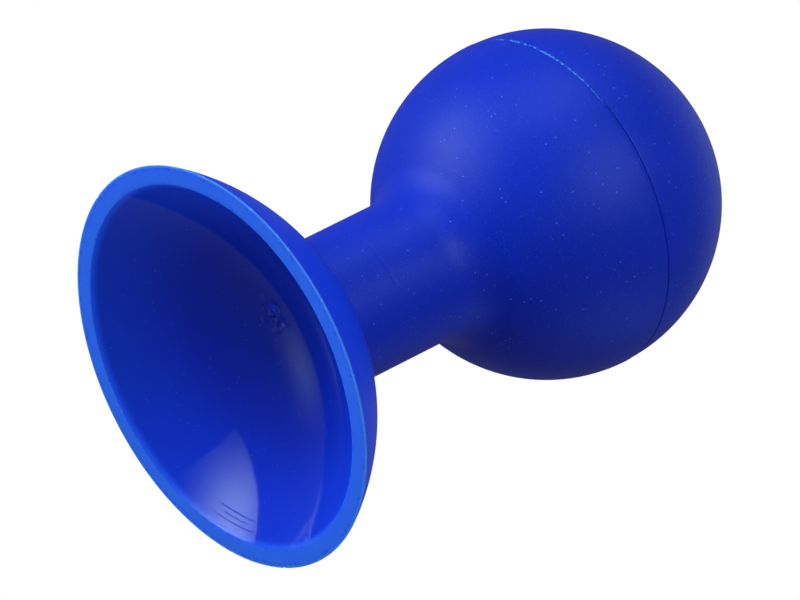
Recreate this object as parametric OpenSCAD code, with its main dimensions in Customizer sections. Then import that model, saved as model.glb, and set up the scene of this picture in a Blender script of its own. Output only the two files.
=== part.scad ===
// Squeeze-bulb vacuum suction cup, moulded in silicone rubber.
// A flared cup, a straight neck and a hollow bulb share one axis. The part stands on the flat
// face of its sealing lip, whose centre is the origin, and +Z runs up the neck to the bulb.

/* [Cup] */
// Outer diameter of the sealing lip
cup_d = 45; // [40:1:55]
// Width of the flat ring that seals against a surface
lip_w = 2.2; // [1.5:0.1:3.2]
// Height of the lip's band, below the wall that flexes
lip_h = 2.5; // [1.5:0.1:3.5]
// Height at which the cup's round back would close on the axis
back_h = 12.8; // [12.4:0.1:14.5]
// Depth of the hollow inside the cup
hollow_h = 9.2; // [7:0.1:10]
// Radius of the fillet from the cup's back into the neck
back_fillet = 2; // [1:0.1:3]

/* [Neck] */
// Outer diameter of the neck
neck_d = 16.2; // [14:0.1:20]
// Diameter of the air passage through the neck
bore_d = 9; // [8.2:0.1:11]
// Height of the mould's witness line round the neck, where its two halves meet
witness_z = 18.9; // [17:0.1:19.5]
// Diameter of the air port in the cup's floor
port_d = 2; // [1:0.1:2.4]
// Distance of the air port from the axis
port_offset = 2.5; // [0:0.1:2.8]

/* [Bulb] */
// Outer diameter of the hollow bulb
bulb_d = 37.4; // [34:0.1:40]
// Height of the bulb's centre above the sealing face
bulb_z = 46.4; // [44:0.1:52]
// Wall thickness of the bulb
bulb_wall = 2.4; // [1.8:0.1:3.2]
// Radius of the fillet from the neck into the bulb
bulb_fillet = 6; // [3:0.5:8]
// How much smaller the rear half's radius is than the front half's
rear_step = 0.05; // [0.05:0.05:0.3]

/* [Bond] */
// Thickness of the silicone adhesive between the bulb's halves
bond_t = 0.3; // [0.2:0.1:0.6]
// How far the cured adhesive stands proud of the bulb
bond_flash = 0.1; // [0:0.05:0.2]

/* [Hidden] */
$fn = 96;

cup_r = cup_d / 2;
neck_r = neck_d / 2;
bore_r = bore_d / 2;
bulb_r = bulb_d / 2;
cavity_r = bulb_r - bulb_wall;
rear_r = bulb_r - rear_step;
reach = cup_d + bulb_d;

// The cup's back and its hollow are caps of two spheres centred on the axis.
back_r = cap_radius(cup_r, back_h);
back_z = back_h - back_r;
hollow_r = cap_radius(cup_r - lip_w, hollow_h);
hollow_z = hollow_h - hollow_r;

// Each fillet is the arc of a circle that touches the neck and one of the spheres.
back_fillet_z = back_z + fillet_rise(back_r, back_fillet);
bulb_fillet_z = bulb_z - fillet_rise(bulb_r, bulb_fillet);

// The hub is the stiff centre of the cup, out to the foot of the fillet.
hub_r = (neck_r + back_fillet) * back_r / (back_r + back_fillet);

// The air passage stops a little below the neck, and leaves the cup a thick floor.
bore_end = 0.7;
bore_floor_z = back_fillet_z - bore_end;

// Radius of the sphere whose cap is h high on a base circle of radius r
function cap_radius(r, h) = (r * r + h * h) / (2 * h);

// Height from a sphere's centre to the centre of a fillet between that sphere and the neck
function fillet_rise(sphere_r, fillet) = sqrt(pow(sphere_r + fillet, 2) - pow(neck_r + fillet, 2));

// Band of the half section, between two radii and two heights
module band(r_in, r_out, z_low, z_high) {
    translate([r_in, z_low])
        square([r_out - r_in, z_high - z_low]);
}

// Disc of the half section, centred on the axis
module disc(z, r) {
    intersection() {
        translate([0, z])
            circle(r);
        band(0, reach, z - reach, z + reach);
    }
}

// Half section of the cup's wall, closed over the axis
module cup_section() {
    difference() {
        disc(back_z, back_r);
        disc(hollow_z, hollow_r);
        band(0, reach, -reach, 0);
    }
}

// Half section of the cup's hub, with the fillet round the neck's foot
module hub_section() {
    difference() {
        band(0, hub_r, 0, back_fillet_z);
        disc(hollow_z, hollow_r);
        band(0, bore_r, bore_floor_z, reach);
        translate([neck_r + back_fillet, back_fillet_z])
            circle(back_fillet);
    }
}

// Half section of the bulb's fillet, from the neck out to where it touches the bulb
module bulb_fillet_section() {
    centre_r = neck_r + bulb_fillet;
    share = bulb_r / (bulb_r + bulb_fillet);
    foot_r = centre_r * share;
    foot_z = bulb_z + (bulb_fillet_z - bulb_z) * share;
    difference() {
        polygon([
            [bore_r, bulb_fillet_z], [centre_r, bulb_fillet_z],
            [foot_r, foot_z], [bore_r, foot_z]
        ]);
        translate([centre_r, bulb_fillet_z])
            circle(bulb_fillet);
    }
}

// Half section of the bulb's front half, from the neck's fillet to the bond
module front_bulb_section() {
    difference() {
        union() {
            bulb_fillet_section();
            disc(bulb_z, bulb_r);
        }
        disc(bulb_z, cavity_r);
        band(0, bore_r, 0, bulb_z);
        band(0, reach, bulb_z - bond_t / 2, bulb_z + reach);
    }
}

// Ring that rests on the surface and seals against it
module sealing_lip() {
    color("royalblue")
        rotate_extrude()
            intersection() {
                cup_section();
                band(0, reach, 0, lip_h);
            }
}

// Wall of the cup that flattens when the cup is pressed down
module cup_skirt() {
    color("mediumblue")
        rotate_extrude()
            intersection() {
                cup_section();
                band(hub_r, reach, lip_h, reach);
            }
}

// Centre of the cup, with the air port through its floor and the fillet up to the neck
module cup_hub() {
    color("mediumblue")
        difference() {
            rotate_extrude()
                hub_section();
            translate([-port_offset, 0, 0])
                cylinder(h = back_h, r = port_d / 2);
        }
}

// Half of the neck next to the cup
module neck_lower() {
    color("blue")
        rotate_extrude()
            band(bore_r, neck_r, back_fillet_z, witness_z);
}

// Half of the neck next to the bulb
module neck_upper() {
    color("blue")
        rotate_extrude()
            band(bore_r, neck_r, witness_z, bulb_fillet_z);
}

// Front half of the hollow bulb, moulded with the neck
module front_bulb_shell() {
    color("blue")
        rotate_extrude()
            front_bulb_section();
}

// Cured adhesive that joins the bulb's halves and stands slightly proud as flash
module bond_ring() {
    color("deepskyblue")
        rotate_extrude()
            band(cavity_r, bulb_r + bond_flash, bulb_z - bond_t / 2, bulb_z + bond_t / 2);
}

// Rear half of the hollow bulb, moulded on its own as a closing cap
module rear_bulb_shell() {
    color("blue")
        rotate_extrude()
            difference() {
                disc(bulb_z, rear_r);
                disc(bulb_z, cavity_r);
                band(0, reach, bulb_z - reach, bulb_z + bond_t / 2);
            }
}

sealing_lip();
cup_skirt();
cup_hub();
neck_lower();
neck_upper();
front_bulb_shell();
bond_ring();
rear_bulb_shell();
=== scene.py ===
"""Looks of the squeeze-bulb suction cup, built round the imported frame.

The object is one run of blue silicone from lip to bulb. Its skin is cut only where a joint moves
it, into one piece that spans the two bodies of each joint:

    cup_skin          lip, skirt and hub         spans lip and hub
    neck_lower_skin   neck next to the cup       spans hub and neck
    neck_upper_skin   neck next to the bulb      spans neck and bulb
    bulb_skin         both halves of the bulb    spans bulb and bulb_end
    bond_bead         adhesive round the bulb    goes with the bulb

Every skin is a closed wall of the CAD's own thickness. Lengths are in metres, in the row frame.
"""

import math

import bmesh
import bpy
import numpy as np
from mathutils import Matrix, Vector, noise


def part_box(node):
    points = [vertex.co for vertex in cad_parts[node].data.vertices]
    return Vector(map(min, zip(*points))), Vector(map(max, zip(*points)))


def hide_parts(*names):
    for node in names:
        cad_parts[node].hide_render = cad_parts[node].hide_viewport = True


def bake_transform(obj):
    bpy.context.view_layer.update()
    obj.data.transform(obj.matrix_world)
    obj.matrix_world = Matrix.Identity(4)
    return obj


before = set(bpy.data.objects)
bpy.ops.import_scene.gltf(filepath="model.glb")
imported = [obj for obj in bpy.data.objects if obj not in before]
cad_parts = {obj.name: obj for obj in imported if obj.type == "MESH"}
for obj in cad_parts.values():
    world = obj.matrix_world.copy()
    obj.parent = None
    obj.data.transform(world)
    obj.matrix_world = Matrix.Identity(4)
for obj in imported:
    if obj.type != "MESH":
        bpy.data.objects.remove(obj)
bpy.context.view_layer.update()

MM = 0.001

# Camera: a long lens that looks up into the cup from below the floor, rolled on its side
VIEW_TARGET = Vector((2.121, 0, 24.017)) * MM
VIEW_DISTANCE = 0.95
VIEW_ELEVATION = math.radians(-34.5)
VIEW_ROLL = math.radians(63.265)
VIEW_LENS = 408.1
SENSOR_WIDTH = 36

# Floor: its size, and the distances between which it fades into the white
FLOOR_SIZE = 30
FLOOR_FADE = (0.15, 1.6)

# Fineness of the skins: parts of a turn, and spacing along the sections
CUP_SEGMENTS = 432
NECK_SEGMENTS = 192
BULB_SEGMENTS = 256
BEAD_SEGMENTS = 960
ARC_STEP = 0.4 * MM
FILLET_STEP = 0.2 * MM
FINE_STEP = 0.12 * MM
SEAM_STEP = 0.1 * MM
TOUCHING = 0.001 * MM
CREASE_ANGLE = math.radians(40)

# Small shapes that the CAD leaves plain: the lip
LIP_ROUND = 0.16 * MM
LIP_WAVER = 0.03 * MM
LIP_NICK = 0.12 * MM

# The air port in the cup's floor
BORE_END = 0.7 * MM
PORT = Vector((-2.5, 0.1, 0)) * MM
FINE_FLOOR = 3.4 * PORT.length
SCAR_RADIUS = 2.0 * MM
SCAR_HEIGHT = 0.17 * MM
TEAR_LENGTH = 1.4 * MM
TEAR_WIDTH = 0.14 * MM
TEAR_BOW = 0.35 * MM
TEAR_JAG = 0.05 * MM
TEAR_STEPS = 14

# The neck's witness line, and the bulb's seam with its bead of adhesive
WITNESS_DEPTH = 0.035 * MM
WITNESS_WIDTH = 0.35 * MM
SEAM_ROUND = 0.12 * MM
SEAM_DEPTH = 0.35 * MM
BEAD_SUNK = 0.2 * MM
BEAD_RISE = 0.3 * MM
FLASH_SIDE = Vector((-0.76, -0.65, 0))

# Relief of the surface, and the drag marks in the hollow: radius, and cosine of their reach
GRAIN = 0.032 * MM
DRAG_SIDE = Vector((0.77, 0.64, 0))
DRAG_MARKS = ((19.5 * MM, 0.984), (18.7 * MM, 0.988), (19.1 * MM, 0.995))
DRAG_WIDTH = 0.075 * MM

# Silicone, as linear colours
DEEP_BLUE = (0.0035, 0.027, 0.64)
# painted glow: a lighter blue on the skirt's outside, for the light that the thin wall near the lip
# lets through
SKIRT_GLOW_BLUE = (0.003, 0.04, 0.92)
# lit blue of the hollow near its rim; towards the hollow's deep middle the wall is painted darker as
# shade
HOLLOW_LIT_BLUE = (0.005, 0.028, 0.68)
# painted glow: a lighter blue for the light that the thin lip lets through, on its face and just
# inside it
LIP_GLOW_BLUE = (0.03, 0.16, 0.99)
BEAD_BLUE = (0.04, 0.24, 0.94)
DUST = (0.14, 0.3, 0.92)
# pale nick marks on the trimmed edge, and the painted glow all along the lip's outer edge
NICK_AND_GLOW_BLUE = (0.16, 0.45, 0.97)
# painted glow, given off as emission, for the light that the thin wall lets through
THROUGH_GLOW_BLUE = (0.01, 0.1, 1.0)
DIRT = (0.004, 0.006, 0.02)
SILICONE_IOR = 1.29
DAYLIGHT = (0.92, 1.22, 1.05)


# ---------------------------------------------------------------- sizes, read from the frame

def corner_radii(node, height):
    """Least and greatest radius of a CAD node's corners at a height."""
    corners = np.array([v.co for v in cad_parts[node].data.vertices])
    level = corners[np.abs(corners[:, 2] - height) < TOUCHING]
    radii = np.hypot(level[:, 0], level[:, 1])
    return float(radii.min()), float(radii.max())


def sphere_through(first, second):
    """Centre height and radius of the sphere on the axis through two (radius, height) points."""
    (r1, z1), (r2, z2) = first, second
    centre = (r1 * r1 + z1 * z1 - r2 * r2 - z2 * z2) / (2 * (z1 - z2))
    return centre, math.hypot(r1, z1 - centre)


def fillet_radius(sphere, centre_z):
    """Radius of the fillet, centred at a height, that touches the neck and a sphere."""
    sphere_z, sphere_r = sphere
    rise = centre_z - sphere_z
    return (neck_r ** 2 + rise ** 2 - sphere_r ** 2) / (2 * (sphere_r - neck_r))


lip_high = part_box("sealing_lip")[1]
neck_low, neck_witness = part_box("neck_lower")
bead_low, bead_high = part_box("bond_ring")
bulb_low, bulb_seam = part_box("front_bulb_shell")
rear_low, rear_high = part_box("rear_bulb_shell")

cup_r = lip_high.x
lip_top = lip_high.z
mouth_r = corner_radii("sealing_lip", 0)[0]
lip_top_radii = corner_radii("sealing_lip", lip_top)
cup_back = sphere_through((cup_r, 0), (lip_top_radii[1], lip_top))
hollow = sphere_through((mouth_r, 0), (lip_top_radii[0], lip_top))

neck_r = neck_witness.x
bore_r = corner_radii("neck_lower", neck_low.z)[0]
neck_foot_z = neck_low.z
witness_z = neck_witness.z
neck_top_z = bulb_low.z
neck_middle_z = (neck_foot_z + neck_top_z) / 2

bulb_z = (bead_low.z + bead_high.z) / 2
bulb_r = math.hypot(bulb_seam.x, bulb_z - bulb_seam.z)
rear_r = rear_high.z - bulb_z
cavity_r = math.hypot(corner_radii("bond_ring", bead_low.z)[0], bulb_z - bead_low.z)
bulb = (bulb_z, bulb_r)

foot_fillet_r = fillet_radius(cup_back, neck_foot_z)
bulb_fillet_r = fillet_radius(bulb, neck_top_z)


# ---------------------------------------------------------------- camera, studio and floor

def place(name, data, location, right, up):
    """Links a new camera or light that looks along the cross product of its up and right."""
    thing = bpy.data.objects.new(name, data)
    bpy.context.scene.collection.objects.link(thing)
    axes = Matrix((right, up, right.cross(up))).transposed()
    thing.matrix_world = Matrix.Translation(location) @ axes.to_4x4()
    return thing


def make_camera():
    """Camera at the photograph's angle."""
    back = Vector((0, -math.cos(VIEW_ELEVATION), math.sin(VIEW_ELEVATION)))
    level = Vector((1, 0, 0))
    upright = back.cross(level)
    right = math.cos(VIEW_ROLL) * level + math.sin(VIEW_ROLL) * upright
    up = math.cos(VIEW_ROLL) * upright - math.sin(VIEW_ROLL) * level
    lens = bpy.data.cameras.new("camera")
    lens.lens = VIEW_LENS
    lens.sensor_width = SENSOR_WIDTH
    camera = place("camera", lens, VIEW_TARGET + VIEW_DISTANCE * back, right, up)
    bpy.context.scene.camera = camera


def softbox(name, centre, along, size, radiance, facing=None, glow=(0.5, 0.5, 0.3, 0.3)):
    """Soft rectangular light, unseen itself, brightest round one spot and dimmer towards its edges.

    The glow is the spot's place and spread, both as shares of the light's width and height.
    """
    lamp = bpy.data.lights.new(name, "AREA")
    lamp.shape = "RECTANGLE"
    lamp.size, lamp.size_y = size
    lamp.energy = radiance * math.pi * size[0] * size[1]
    lamp.color = DAYLIGHT
    lamp.use_nodes = True
    tree = lamp.node_tree
    place_on_lamp = tree.nodes.new("ShaderNodeNewGeometry").outputs["Parametric"]
    steps = []
    for operation, operand in (("SUBTRACT", (*glow[:2], 0)), ("DIVIDE", (*glow[2:], 1))):
        step = tree.nodes.new("ShaderNodeVectorMath")
        step.operation = operation
        tree.links.new(steps[-1].outputs[0] if steps else place_on_lamp, step.inputs[0])
        step.inputs[1].default_value = operand
        steps.append(step)
    square = tree.nodes.new("ShaderNodeVectorMath")
    square.operation = "DOT_PRODUCT"
    tree.links.new(steps[-1].outputs[0], square.inputs[0])
    tree.links.new(steps[-1].outputs[0], square.inputs[1])
    fall = tree.nodes.new("ShaderNodeMath")
    fall.operation = "MULTIPLY"
    fall.inputs[1].default_value = -0.5
    tree.links.new(square.outputs["Value"], fall.inputs[0])
    level = tree.nodes.new("ShaderNodeMath")
    level.operation = "EXPONENT"
    tree.links.new(fall.outputs[0], level.inputs[0])
    emission = next(n for n in tree.nodes if n.type == "EMISSION")
    tree.links.new(level.outputs[0], emission.inputs["Strength"])

    back = Vector(facing or centre).normalized()
    up = Vector(along)
    up = (up - up.dot(back) * back).normalized()
    light = place(name, lamp, VIEW_TARGET + Vector(centre), up.cross(back), up)
    light.visible_camera = False


def make_studio():
    """White surroundings for the camera, dim ones for the object, and the softboxes."""
    world = bpy.data.worlds.new("studio")
    bpy.context.scene.world = world
    world.use_nodes = True
    tree = world.node_tree
    tree.nodes.clear()
    seen = tree.nodes.new("ShaderNodeBackground")
    seen.inputs["Color"].default_value = (1, 1, 1, 1)
    felt = tree.nodes.new("ShaderNodeBackground")
    felt.inputs["Color"].default_value = (0.145, 0.145, 0.145, 1)
    path = tree.nodes.new("ShaderNodeLightPath")
    mix = tree.nodes.new("ShaderNodeMixShader")
    out = tree.nodes.new("ShaderNodeOutputWorld")
    tree.links.new(path.outputs["Is Camera Ray"], mix.inputs["Fac"])
    tree.links.new(felt.outputs[0], mix.inputs[1])
    tree.links.new(seen.outputs[0], mix.inputs[2])
    tree.links.new(mix.outputs[0], out.inputs["Surface"])
    softbox("key", (-0.777, 0.025, -0.502), (-0.60, 0.3125, 0.7375), (0.6, 1.0), 8.8,
            (-0.731, 0.164, -0.664), (0.37, 0.5, 0.29, 0.23))
    softbox("fill", (0, -0.98, 0.21), (1, 0, 0), (0.42, 0.42), 11.5)
    softbox("left", (-0.85, -0.49, 0.19), (0.1, 0, 0.66), (0.5, 1.1), 3.4)
    softbox("low_fill", (0.13, -0.93, -0.33), (1, 0, 0), (0.5, 0.5), 0.8)
    softbox("side", (-0.16, 0.826, -0.55), (1, 0, 0), (0.5, 0.5), 0.6, None, (0.5, 0.5, 0.22, 0.22))
    softbox("strip", (-0.69, 0.925, -0.13), (0.7, 0.2, 0.1), (0.08, 0.5), 0.45)
    softbox("right", (0.93, 0.05, 0.1), (0, 0, 1), (0.6, 1.1), 0.6)
    softbox("top", (0.1, 0.35, 0.93), (1, 0, 0), (0.9, 0.9), 0.35)
    bpy.context.scene.view_settings.view_transform = "Standard"


def make_floor():
    """Pale floor, seen from above only, that runs into the white and doesn't light the object."""
    bpy.ops.mesh.primitive_plane_add(size=FLOOR_SIZE)
    floor = bpy.context.object
    floor.name = "floor"
    floor.visible_diffuse = False
    floor.visible_glossy = False
    floor.visible_transmission = False
    floor.visible_shadow = False
    material = bpy.data.materials.new("floor")
    material.use_nodes = True
    tree = material.node_tree
    tree.nodes.clear()
    paper = tree.nodes.new("ShaderNodeBsdfDiffuse")
    paper.inputs["Color"].default_value = (0.88, 0.66, 0.77, 1)  # cancels the lights' tint
    glow = tree.nodes.new("ShaderNodeEmission")
    glow.inputs["Color"].default_value = (0.5, 0.5, 0.5, 1)
    pale = tree.nodes.new("ShaderNodeAddShader")
    tree.links.new(paper.outputs[0], pale.inputs[0])
    tree.links.new(glow.outputs[0], pale.inputs[1])

    here = tree.nodes.new("ShaderNodeNewGeometry")
    away = tree.nodes.new("ShaderNodeVectorMath")
    away.operation = "LENGTH"
    tree.links.new(here.outputs["Position"], away.inputs[0])
    fade = tree.nodes.new("ShaderNodeMapRange")
    fade.interpolation_type = "SMOOTHSTEP"
    fade.inputs["From Min"].default_value, fade.inputs["From Max"].default_value = FLOOR_FADE
    tree.links.new(away.outputs["Value"], fade.inputs["Value"])
    white = tree.nodes.new("ShaderNodeEmission")
    merge = tree.nodes.new("ShaderNodeMixShader")
    tree.links.new(fade.outputs[0], merge.inputs["Fac"])
    tree.links.new(pale.outputs[0], merge.inputs[1])
    tree.links.new(white.outputs[0], merge.inputs[2])

    clear = tree.nodes.new("ShaderNodeBsdfTransparent")
    one_sided = tree.nodes.new("ShaderNodeMixShader")
    tree.links.new(here.outputs["Backfacing"], one_sided.inputs["Fac"])
    tree.links.new(merge.outputs[0], one_sided.inputs[1])
    tree.links.new(clear.outputs[0], one_sided.inputs[2])
    out = tree.nodes.new("ShaderNodeOutputMaterial")
    tree.links.new(one_sided.outputs[0], out.inputs["Surface"])
    floor.data.materials.append(material)


# ---------------------------------------------------------------- half sections

def arc(centre, radius, start, end, step=ARC_STEP):
    """Points of an arc round a (radius, height) centre, between two angles from outwards."""
    count = max(3, math.ceil(abs(end - start) * radius / step))
    angles = [start + (end - start) * i / count for i in range(count + 1)]
    return [(centre[0] + radius * math.cos(a), centre[1] + radius * math.sin(a)) for a in angles]


def line(start, end, step=ARC_STEP):
    """Points along a straight line of the section."""
    count = max(1, math.ceil(math.dist(start, end) / step))
    return [tuple(np.array(start) + (np.array(end) - np.array(start)) * i / count)
            for i in range(count + 1)]


def rounded(section, corner, size, count=4):
    """The section with the stretch within size of one corner replaced by a smooth turn."""
    near = [math.dist(p, corner) < size * 0.999 for p in section]
    first = near.index(True)
    last = len(near) - 1 - near[::-1].index(True)
    middle = np.array(corner)
    ends = []
    for neighbour in (section[first - 1], section[(last + 1) % len(section)]):
        away = np.array(neighbour) - middle
        ends.append(middle + away * min(1.0, size / np.linalg.norm(away)))
    turn = [tuple((1 - t) ** 2 * ends[0] + 2 * t * (1 - t) * middle + t * t * ends[1])
            for t in (i / count for i in range(count + 1))]
    return joined(section[:first], turn, section[last + 1:])


def joined(*stretches):
    """One outline from stretches that meet end to end."""
    outline = []
    for point in (p for stretch in stretches for p in stretch):
        if not outline or math.dist(point, outline[-1]) > TOUCHING:
            outline.append(point)
    return outline


def lathe(name, section, segments):
    """Closed mesh of a section turned round Z. A section that ends on the axis closes there."""
    angles = [2 * math.pi * i / segments for i in range(segments)]
    points, rings, faces = [], [], []
    for radius, height in section:
        if radius < TOUCHING:
            rings.append([len(points)] * segments)
            points.append((0, 0, height))
        else:
            rings.append(list(range(len(points), len(points) + segments)))
            points += [(radius * math.cos(a), radius * math.sin(a), height) for a in angles]
    on_axis = section[0][0] < TOUCHING
    for low, high in zip(rings, rings[1:] + ([] if on_axis else rings[:1])):
        for i in range(segments):
            k = (i + 1) % segments
            faces.append(tuple(dict.fromkeys((low[i], low[k], high[k], high[i]))))
    mesh = bpy.data.meshes.new(name)
    mesh.from_pydata(points, [], faces)
    piece = bpy.data.objects.new(name, mesh)
    bpy.context.scene.collection.objects.link(piece)
    return piece


def reshape(piece, move):
    """Moves each vertex of a piece to where move(x, y, z) says."""
    for vertex in piece.data.vertices:
        vertex.co = move(*vertex.co)


def finished(piece, material):
    """Outward normals, smooth shading with crisp edges, the rest position, material and slot."""
    mesh = piece.data
    shape = bmesh.new()
    shape.from_mesh(mesh)
    bmesh.ops.recalc_face_normals(shape, faces=shape.faces)
    shape.to_mesh(mesh)
    shape.free()
    mesh.shade_smooth()
    mesh.set_sharp_from_angle(angle=CREASE_ANGLE)
    rest = np.zeros(len(mesh.vertices) * 3, np.float32)
    mesh.vertices.foreach_get("co", rest)
    mesh.attributes.new("rest", "FLOAT_VECTOR", "POINT").data.foreach_set("vector", rest)
    mesh.materials.clear()
    mesh.materials.append(material)
    return piece


def smooth_step(low, high, value):
    """0 below low, 1 above high, and a smooth rise between them."""
    t = min(1.0, max(0.0, (value - low) / (high - low)))
    return t * t * (3 - 2 * t)


# ---------------------------------------------------------------- materials

class Silicone:
    """Node graph of one silicone surface, whose patterns hang on the rest position."""

    def __init__(self, name):
        self.material = bpy.data.materials.new(name)
        self.material.use_nodes = True
        self.tree = self.material.node_tree
        self.tree.nodes.clear()
        self.rest = self.node("Attribute", attribute_name="rest").outputs["Vector"]

    def node(self, kind, inputs=(), **settings):
        """Adds a node, sets its properties, and links or sets its inputs."""
        made = self.tree.nodes.new("ShaderNode" + kind)
        for key, value in settings.items():
            setattr(made, key, value)
        for key, value in dict(inputs).items():
            if isinstance(value, bpy.types.NodeSocket):
                self.tree.links.new(value, made.inputs[key])
            else:
                made.inputs[key].default_value = value
        return made

    def math(self, operation, first, second=0.0, clamp=False):
        """Arithmetic on two values."""
        made = self.node("Math", {0: first, 1: second}, operation=operation, use_clamp=clamp)
        return made.outputs[0]

    def ramp(self, value, low, high):
        """0 to 1 as a value goes from low to high, which may run downwards."""
        made = self.node("MapRange", {"Value": value, "From Min": low, "From Max": high},
                         interpolation_type="SMOOTHSTEP")
        return made.outputs["Result"]

    def band(self, value, centre, reach):
        """1 where a value is at a centre, falling to 0 within a reach on both sides."""
        apart = self.math("ABSOLUTE", self.math("SUBTRACT", value, centre))
        return self.ramp(apart, reach, 0.3 * reach)

    def noise(self, size, detail=2.0, roughness=0.5):
        """Noise from 0 to 1 with features of a size in metres."""
        made = self.node("TexNoise", {"Vector": self.rest, "Scale": 1 / size, "Detail": detail,
                                      "Roughness": roughness})
        return made.outputs["Fac"]

    def specks(self, spacing, radius, share):
        """Small round spots in some of the cells of a loose grid."""
        cells = self.node("TexVoronoi", {"Vector": self.rest, "Scale": 1 / spacing})
        spot = self.ramp(cells.outputs["Distance"], radius / spacing, 0.3 * radius / spacing)
        pick = self.node("SeparateColor", {"Color": cells.outputs["Color"]}).outputs["Red"]
        chosen = self.math("LESS_THAN", pick, share)
        return self.math("MULTIPLY", spot, chosen)

    def dust(self):
        """Share of light dust: sparse plain specks and many fainter ones."""
        plain = self.math("MULTIPLY", self.specks(0.72 * MM, 0.1 * MM, 0.4), 0.85)
        faint = self.math("MULTIPLY", self.specks(0.36 * MM, 0.07 * MM, 0.5), 0.3)
        return self.math("ADD", plain, faint)

    def grain(self):
        """Height of the satin grain."""
        coarse = self.math("MULTIPLY", self.noise(0.28 * MM, 2), 0.6)
        return self.math("ADD", self.noise(0.14 * MM, 2), coarse)

    def mix(self, share, first, second):
        """Colour between two colours."""
        made = self.node("Mix", data_type="RGBA")
        for socket, value in (("Factor_Float", share), ("A_Color", first), ("B_Color", second)):
            target = next(s for s in made.inputs if s.identifier == socket)
            if isinstance(value, bpy.types.NodeSocket):
                self.tree.links.new(value, target)
            elif socket == "Factor_Float":
                target.default_value = value
            else:
                target.default_value = (*value, 1)
        return next(s for s in made.outputs if s.identifier == "Result_Color")

    def finish(self, colour, roughness, height, relief, **surface):
        """Ends the graph in one Principled surface with a bump of the given relief."""
        bump = self.node("Bump", {"Height": height, "Distance": relief, "Strength": 1.0})
        inputs = {"Base Color": colour, "Roughness": roughness, "IOR": SILICONE_IOR,
                  "Normal": bump.outputs[0]}
        inputs.update({key.replace("_", " "): value for key, value in surface.items()})
        skin = self.node("BsdfPrincipled", inputs)
        self.node("OutputMaterial", {"Surface": skin.outputs[0]})
        return self.material


def satin_silicone(name, bead=False):
    """Satin moulded surface of the neck and bulb: fine grain, faint clouding and dust."""
    s = Silicone(name)
    clouds = s.noise(5 * MM, 3)
    dusty = s.dust()
    shade = s.mix(clouds, tuple(0.93 * c for c in DEEP_BLUE), tuple(1.07 * c for c in DEEP_BLUE))
    if bead:
        proud = s.node("Attribute", attribute_name="proud").outputs["Fac"]
        crumbs = s.ramp(s.noise(0.4 * MM, 3, 0.6), 0.42, 0.58)
        shade = s.mix(s.math("MULTIPLY", proud, crumbs), shade, BEAD_BLUE)
    tint = s.mix(dusty, shade, DUST)
    uneven = s.math("MULTIPLY", s.noise(0.3 * MM, 2), 0.2)
    mottle = s.math("ADD", s.math("MULTIPLY", clouds, 0.1), uneven)
    return s.finish(tint, s.math("ADD", 0.27, mottle), s.grain(), GRAIN)


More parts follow.
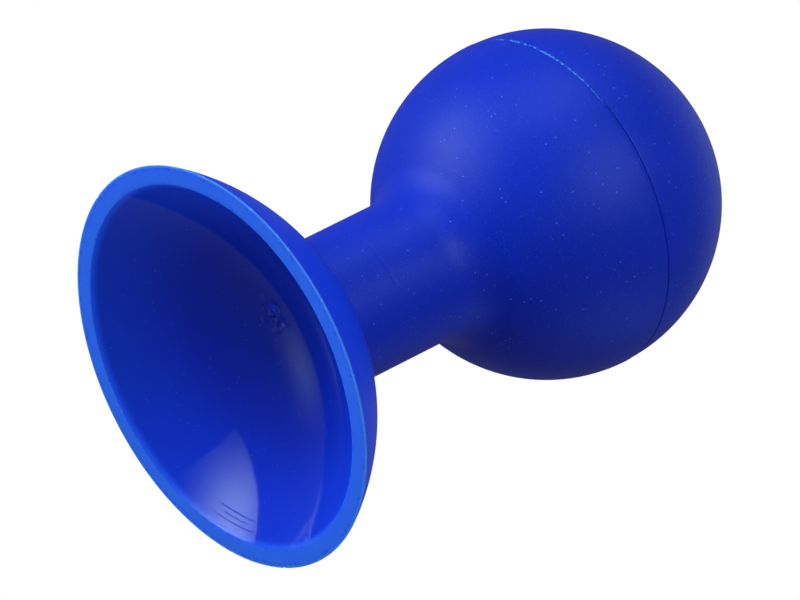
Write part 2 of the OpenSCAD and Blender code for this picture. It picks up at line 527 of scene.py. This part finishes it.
def cup_silicone():
    """Cup: glossy in the hollow, satin outside, and translucent where the wall is thin.

    The light that the thin wall lets through is painted: a faint emission, lighter base colours on
    and near the lip, and painted shade deep in the hollow.
    """
    s = Silicone("cup_silicone")
    reach = s.node("VectorMath", {0: s.rest, 1: (0, 0, hollow[0])}, operation="DISTANCE")
    inside = s.ramp(reach.outputs["Value"], hollow[1] + 0.06 * MM, hollow[1] + 0.02 * MM)
    axes = s.node("SeparateXYZ", {0: s.rest})
    flat = s.node("CombineXYZ", {0: axes.outputs[0], 1: axes.outputs[1]})
    radius = s.node("VectorMath", {0: flat.outputs[0]}, operation="LENGTH").outputs["Value"]
    outside = s.math("SUBTRACT", 1.0, inside)
    # Painted shade: the hollow's wall is painted darker towards its deep middle and lighter towards
    # the thin rim
    painted_shade_fade = s.ramp(radius, 0.1 * cup_r, 0.75 * cup_r)
    # Painted glow: the skirt's outside is painted lighter towards the thin lip, here and in the
    # emission below
    thin = s.ramp(radius, 0.55 * cup_r, 0.9 * cup_r)
    face = s.math("MULTIPLY", s.ramp(axes.outputs[2], 0.12 * MM, 0.03 * MM), outside)
    clouds = s.noise(5 * MM, 3)
    shaded_hollow_wall = s.mix(painted_shade_fade, tuple(0.55 * c for c in DEEP_BLUE), HOLLOW_LIT_BLUE)
    wall = s.mix(outside, shaded_hollow_wall, s.mix(thin, DEEP_BLUE, SKIRT_GLOW_BLUE))
    # Painted glow: the lip's face, and the hollow just inside it, are painted a lighter blue for the
    # light that the thin lip lets through
    lip_glow_spill = s.math("MULTIPLY", s.ramp(axes.outputs[2], 0.7 * MM, 0.0), inside)
    base = s.mix(s.math("MAXIMUM", face, s.math("MULTIPLY", lip_glow_spill, 0.55)), wall, LIP_GLOW_BLUE)
    shade = s.mix(s.math("MULTIPLY", clouds, 0.12), base, DEEP_BLUE)
    dusted = s.mix(s.math("MULTIPLY", s.dust(), 0.4), shade, DUST)

    trim = s.math("MULTIPLY", s.ramp(radius, cup_r - 0.4 * MM, cup_r - 0.15 * MM),
                  s.ramp(axes.outputs[2], 0.35 * MM, 0.15 * MM))
    crumbs = s.noise(0.45 * MM, 2, 0.6)
    nicks = s.math("MULTIPLY", trim, s.ramp(crumbs, 0.6, 0.68))
    # Pale nick marks, and a faint painted glow all round the lip's outer edge
    pale = s.math("MAXIMUM", s.math("MULTIPLY", nicks, 0.9), s.math("MULTIPLY", trim, 0.3))
    nicked_and_glowing = s.mix(pale, dusted, NICK_AND_GLOW_BLUE)
    edges = s.math("MAXIMUM", s.band(radius, cup_r - 0.5 * MM, 0.25 * MM),
                   s.band(radius, mouth_r + 0.1 * MM, 0.2 * MM))
    ticks = s.math("MULTIPLY", s.math("MULTIPLY", edges, face), s.ramp(crumbs, 0.46, 0.4))
    ticked = s.mix(s.math("MULTIPLY", ticks, 0.75), nicked_and_glowing, DEEP_BLUE)
    dirt = s.specks(2.5 * MM, 0.14 * MM, 0.1)
    tint = s.mix(s.math("MULTIPLY", dirt, inside), ticked, DIRT)
    grain = s.grain()
    waves = s.noise(2.5 * MM, 2)
    turned = s.node("TexWave", {"Vector": flat.outputs[0], "Scale": 1 / (1.4 * MM), "Detail": 0.0},
                    wave_type="RINGS", rings_direction="Z")
    line = s.ramp(turned.outputs["Fac"], 0.97, 1.0)
    broken = s.ramp(s.noise(1.3 * MM, 4, 0.7), 0.56, 0.62)
    scratch = s.math("MULTIPLY", s.math("MULTIPLY", line, broken), 0.5)
    toward = s.node("VectorMath", {0: flat.outputs[0], 1: DRAG_SIDE}, operation="DOT_PRODUCT")
    ahead = s.math("DIVIDE", toward.outputs["Value"], radius)
    for reach_out, width in DRAG_MARKS:
        mark = s.math("MULTIPLY", s.band(radius, reach_out, DRAG_WIDTH),
                      s.ramp(ahead, width, 0.5 + 0.5 * width))
        worn = s.math("MULTIPLY", mark, s.ramp(s.noise(0.9 * MM, 3, 0.6), 0.36, 0.46))
        scratch = s.math("MAXIMUM", scratch, worn)
    smooth = s.math("SUBTRACT", s.math("MULTIPLY", waves, 0.22), s.math("MULTIPLY", scratch, 0.3))
    height = s.node("Mix", {0: inside, 2: grain, 3: smooth}, data_type="FLOAT").outputs[0]
    polish = s.math("ADD", 0.065, s.math("MULTIPLY", scratch, 0.35))
    rough = s.node("Mix", {0: inside, 2: 0.46, 3: polish}, data_type="FLOAT").outputs[0]
    # Painted glow: the emission is strongest in the hollow near the lip and on the lip's face, and
    # faint on the thin skirt
    rim_glow = s.math("MULTIPLY", s.ramp(radius, 0.45 * cup_r, 0.95 * cup_r), inside)
    edge_glow = s.math("ADD", s.math("MULTIPLY", face, 0.17), s.math("MULTIPLY", lip_glow_spill, 0.09))
    skirt_glow = s.math("MULTIPLY", s.math("MULTIPLY", thin, outside), 0.04)
    through = s.math("ADD", s.math("MULTIPLY", rim_glow, 0.13), s.math("ADD", edge_glow, skirt_glow))
    depth = s.ramp(axes.outputs[2], 0.95 * neck_foot_z, 0.4 * neck_foot_z)
    return s.finish(tint, rough, height, GRAIN, Subsurface_Weight=s.math("MULTIPLY", depth, 0.6),
                    Subsurface_Radius=(0.15, 0.5, 1.0), Subsurface_Scale=2.0 * MM,
                    Emission_Color=(*THROUGH_GLOW_BLUE, 1), Emission_Strength=through)


# ---------------------------------------------------------------- pieces

def cup_section():
    """Outline of the cup's wall, from the top of its floor on the axis to the hollow's top."""
    back_z, back_r = cup_back
    hollow_z, hollow_r = hollow
    fillet_centre = (neck_r + foot_fillet_r, neck_foot_z)
    lean = math.atan2(neck_foot_z - back_z, fillet_centre[0])
    floor_z = neck_foot_z - BORE_END
    rim = math.atan2(-back_z, cup_r)
    mouth = math.atan2(-hollow_z, mouth_r)
    floor_angle = math.acos(FINE_FLOOR / hollow_r)
    outline = joined(
        line((0, floor_z), (bore_r, floor_z)),
        line((bore_r, floor_z), (bore_r, neck_foot_z)),
        line((bore_r, neck_foot_z), (neck_r, neck_foot_z)),
        arc(fillet_centre, foot_fillet_r, math.pi, math.pi + lean, FILLET_STEP),
        arc((0, back_z), back_r, lean, rim),
        line((cup_r, 0), (mouth_r, 0)),
        arc((0, hollow_z), hollow_r, mouth, floor_angle),
        arc((0, hollow_z), hollow_r, floor_angle, math.pi / 2, FINE_STEP),
    )
    outline = rounded(outline, (cup_r, 0), LIP_ROUND)
    return rounded(outline, (mouth_r, 0), LIP_ROUND * 0.7)


def trimmed_lip(x, y, z):
    """The trimmed edge of the lip: a slow waver and sparse small nicks, all inwards."""
    radius = math.hypot(x, y)
    edge = smooth_step(1.2 * MM, 0.0, z) * smooth_step(0.9 * MM, 0.0, abs(cup_r - radius))
    if edge <= 0:
        return x, y, z
    around = Vector((x, y, 0)) / radius
    waver = 0.5 + 0.5 * noise.noise(around * 3)
    nick = smooth_step(0.35, 0.6, noise.noise(around * 60))
    nick *= smooth_step(0.0, 0.4, noise.noise(around * 2.2))
    nick *= smooth_step(0.5 * MM, 0.0, z)
    inwards = (LIP_WAVER * waver + LIP_NICK * nick) * edge
    share = 1 - inwards / radius
    return x * share, y * share, z


def torn_port(x, y, z):
    """The lumpy scar of torn film round the air port in the hollow's floor."""
    from_centre = math.hypot(x, y, z - hollow[0])
    offset = math.hypot(x - PORT.x, y - PORT.y)
    if abs(from_centre - hollow[1]) > 0.01 * MM or offset > 1.6 * SCAR_RADIUS:
        return x, y, z
    here = Vector((x, y, 0)) / MM
    edge = SCAR_RADIUS * (1 + 0.25 * noise.noise(here * 0.8))
    ring = math.exp(-((offset - edge) / (0.25 * MM)) ** 2)
    body = smooth_step(edge, 0.6 * edge, offset)
    lumps = noise.noise(here * 0.8) + 0.35 * noise.noise(here * 2.0)
    rise = SCAR_HEIGHT * (0.3 * ring * (0.6 + lumps) + 1.1 * body * lumps)
    share = 1 - rise / from_centre
    return x * share, y * share, hollow[0] + (z - hollow[0]) * share


def port_cutter():
    """Narrow crooked slit through the cup's floor, where the film is torn."""
    low, high = hollow[0] + hollow[1] - 1.5 * MM, neck_foot_z
    outline = []
    for side in (1, -1):
        for i in range(TEAR_STEPS + 1):
            t = (i / TEAR_STEPS * 2 - 1) * side
            bow = TEAR_BOW * (1 - t * t)
            gap = side * 0.5 * TEAR_WIDTH * math.sqrt(max(0.0, 1 - t * t))
            jag = TEAR_JAG * noise.noise(Vector((t * 4, side, 0)))
            outline.append((PORT.x + bow + gap + jag, PORT.y - 0.5 * TEAR_LENGTH * t))
    outline = list(dict.fromkeys(outline))
    shape = bmesh.new()
    base = [shape.verts.new((x, y, low)) for x, y in outline]
    top = [shape.verts.new((x, y, high)) for x, y in outline]
    shape.faces.new(base)
    shape.faces.new(top)
    for i in range(len(outline)):
        k = (i + 1) % len(outline)
        shape.faces.new((base[i], base[k], top[k], top[i]))
    bmesh.ops.recalc_face_normals(shape, faces=shape.faces)
    mesh = bpy.data.meshes.new("port_cutter")
    shape.to_mesh(mesh)
    shape.free()
    cutter = bpy.data.objects.new("port_cutter", mesh)
    bpy.context.scene.collection.objects.link(cutter)
    return cutter


def cut(piece, cutter):
    """Takes the cutter's shape out of a piece, and removes the cutter."""
    boolean = piece.modifiers.new("cut", "BOOLEAN")
    boolean.object = cutter
    boolean.solver = "EXACT"
    graph = bpy.context.evaluated_depsgraph_get()
    mesh = bpy.data.meshes.new_from_object(piece.evaluated_get(graph))
    piece.modifiers.clear()
    piece.data = mesh
    bpy.data.objects.remove(cutter)


def make_cup():
    """Lip, skirt and hub in one wall, which flattens when the cup is pressed down."""
    piece = lathe("cup_skin", cup_section(), CUP_SEGMENTS)
    reshape(piece, trimmed_lip)
    reshape(piece, torn_port)
    cut(piece, port_cutter())
    finished(piece, cup_silicone())
    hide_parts("sealing_lip", "cup_skirt", "cup_hub")
    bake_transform(piece)


def make_neck(name, low_z, high_z, node, material):
    """One half of the neck, which spans the joint between two bodies."""
    section = joined(
        line((bore_r, low_z), (neck_r, low_z)),
        line((neck_r, low_z), (neck_r, high_z), FINE_STEP),
        line((neck_r, high_z), (bore_r, high_z)),
        line((bore_r, high_z), (bore_r, low_z)),
    )[:-1]
    piece = lathe(name, section, NECK_SEGMENTS)

    def witness(x, y, z):
        """A faint line where the mould's halves met, fading in and out round the neck."""
        radius = math.hypot(x, y)
        if radius < 0.99 * neck_r:
            return x, y, z
        strength = 0.6 + 0.4 * noise.noise(Vector((x, y, 0)) * 0.3 / MM)
        groove = math.exp(-((z - witness_z) / (0.4 * WITNESS_WIDTH)) ** 2)
        share = 1 - WITNESS_DEPTH * strength * groove / radius
        return x * share, y * share, z

    reshape(piece, witness)
    finished(piece, material)
    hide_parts(node)
    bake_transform(piece)


def bulb_section():
    """Outline of the bulb's wall, from the neck round the outside and back inside."""
    fillet_centre = (neck_r + bulb_fillet_r, neck_top_z)
    lean = math.atan2(bulb_z - neck_top_z, fillet_centre[0])
    seam = math.asin((bulb_seam.z - bulb_z) / bulb_r)
    rear_seam = math.asin((rear_low.z - bulb_z) / rear_r)
    front_edge = (bulb_seam.x, bulb_seam.z)
    rear_edge = (rear_r * math.cos(rear_seam), rear_low.z)
    seam_floor = front_edge[0] - SEAM_DEPTH
    hole = math.asin(bore_r / cavity_r)
    outline = joined(
        line((bore_r, neck_top_z), (neck_r, neck_top_z)),
        arc(fillet_centre, bulb_fillet_r, math.pi, math.pi - lean, FILLET_STEP),
        arc((0, bulb_z), bulb_r, -lean, seam),
        line(front_edge, (seam_floor, front_edge[1]), SEAM_STEP),
        line((seam_floor, front_edge[1]), (seam_floor, rear_edge[1]), SEAM_STEP),
        line((seam_floor, rear_edge[1]), rear_edge, SEAM_STEP),
        arc((0, bulb_z), rear_r, rear_seam, math.pi / 2),
    )
    inside = joined(
        arc((0, bulb_z), cavity_r, math.pi / 2, hole - math.pi / 2),
        line((bore_r, bulb_z - cavity_r * math.cos(hole)), (bore_r, neck_top_z)),
    )[:-1]
    outline = rounded(outline, front_edge, SEAM_ROUND)
    outline = rounded(outline, rear_edge, SEAM_ROUND)
    return outline, inside


def make_bulb(material):
    """The bulb's two halves in one skin, with the step between them, and their adhesive bead."""
    outside, inside = bulb_section()
    piece = lathe("bulb_skin", outside + inside, BULB_SEGMENTS)
    finished(piece, material)
    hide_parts("front_bulb_shell", "rear_bulb_shell")

    bead = lathe("bond_bead", bead_section(), BEAD_SEGMENTS)
    reshape(bead, ragged_bead)
    marks = bead.data.attributes.new("proud", "FLOAT", "POINT")
    marks.data.foreach_set("value", [proud_share(*v.co) for v in bead.data.vertices])
    finished(bead, satin_silicone("bond_silicone", bead=True))
    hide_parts("bond_ring")
    for part in (piece, bead):
        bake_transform(part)


def bead_section():
    """Outline of the bead of adhesive in the seam."""
    inner, outer = cavity_r, bead_high.x
    low, high = bead_low.z, bead_high.z
    round_r = (high - low) / 2
    centre = (outer - round_r, (low + high) / 2)
    return joined(
        line((inner, low), (centre[0], low), MM),
        arc(centre, round_r, -math.pi / 2, math.pi / 2, 0.08 * MM),
        line((centre[0], high), (inner, high), MM),
    )


def proud_share(x, y, z):
    """1 where the adhesive stands proud of the seam, on one side of the bulb, and 0 elsewhere."""
    around = Vector((x, y, 0)).normalized()
    return smooth_step(0.86, 0.96, around.dot(FLASH_SIDE) + 0.03 * noise.noise(around * 9))


def ragged_bead(x, y, z):
    """Adhesive stands proud and ragged on one side of the bulb and lies in the seam elsewhere."""
    radius = math.hypot(x, y)
    if radius < bulb_r - 0.6 * MM:
        return x, y, z
    around = Vector((x, y, 0)) / radius
    ragged = 0.5 + 0.5 * noise.noise(around * 90) + 0.3 * noise.noise(around * 230)
    level = proud_share(x, y, z) * BEAD_RISE * ragged - BEAD_SUNK
    share = 1 + min(level, 0.0) / radius
    return x * share, y * share, z


def main():
    """Builds the scene."""
    make_camera()
    make_studio()
    make_floor()
    make_cup()
    satin = satin_silicone("neck_silicone")
    make_neck("neck_lower_skin", neck_foot_z, neck_middle_z, "neck_lower", satin)
    make_neck("neck_upper_skin", neck_middle_z, neck_top_z, "neck_upper", satin)
    make_bulb(satin_silicone("bulb_silicone"))


main()
